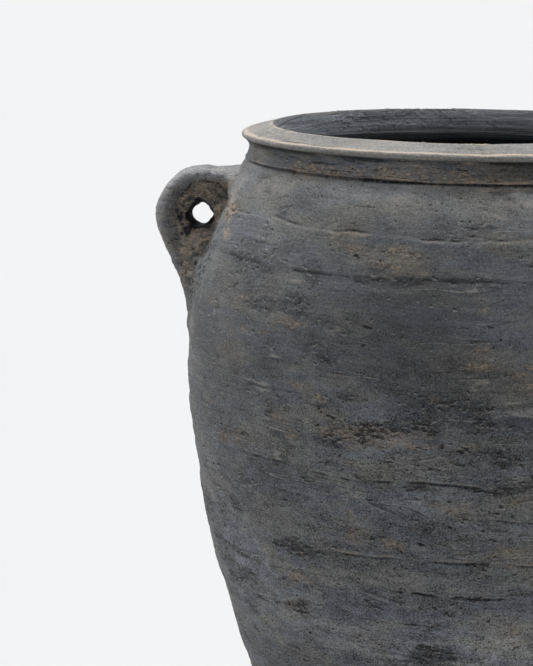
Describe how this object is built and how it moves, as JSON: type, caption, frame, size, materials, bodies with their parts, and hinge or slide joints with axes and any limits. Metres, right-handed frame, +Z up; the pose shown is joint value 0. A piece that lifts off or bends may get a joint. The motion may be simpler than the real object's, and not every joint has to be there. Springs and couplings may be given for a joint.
{
  "type": "storage jar",
  "caption": "Tall coil-built black clay storage jar with a folded rim, a short grooved collar, a round belly, a tapering foot and a pierced lug on each side of the shoulder.",
  "frame": {"origin": "centre of the foot's underside, on the floor", "axes": "+Z up along the jar's axis; the lugs lie on the X axis and their holes run along Y"},
  "size_m": [0.4454, 0.398, 0.52],
  "materials": {
    "wall_clay": "smoke-fired black clay, wiped and scraped, dry matte with dusty tan patches",
    "shoulder_clay": "smoke-fired black clay, wiped smooth, dry matte",
    "collar_clay": "smoke-fired black clay, scuffed to tan along the lower edge",
    "rim_clay": "smoke-fired black clay, worn pale and tan on the flat top and the edge",
    "lug_clay": "smoke-fired black clay, smooth outside, rough scraped tan clay around the hole",
    "base_clay": "smoke-fired black clay, matte, rubbed on the underside"
  },
  "bodies": {
    "root": {"base": "base_clay", "wall_coil_1": "wall_clay", "wall_coil_2": "wall_clay", "wall_coil_3": "wall_clay", "wall_coil_4": "wall_clay", "wall_coil_5": "wall_clay", "wall_coil_6": "wall_clay", "wall_coil_7": "wall_clay", "wall_coil_8": "wall_clay", "shoulder_coil": "shoulder_clay", "collar": "collar_clay", "rim_lip": "rim_clay", "lug_left": "lug_clay", "lug_right": "lug_clay"}
  },
  "joints": []
}
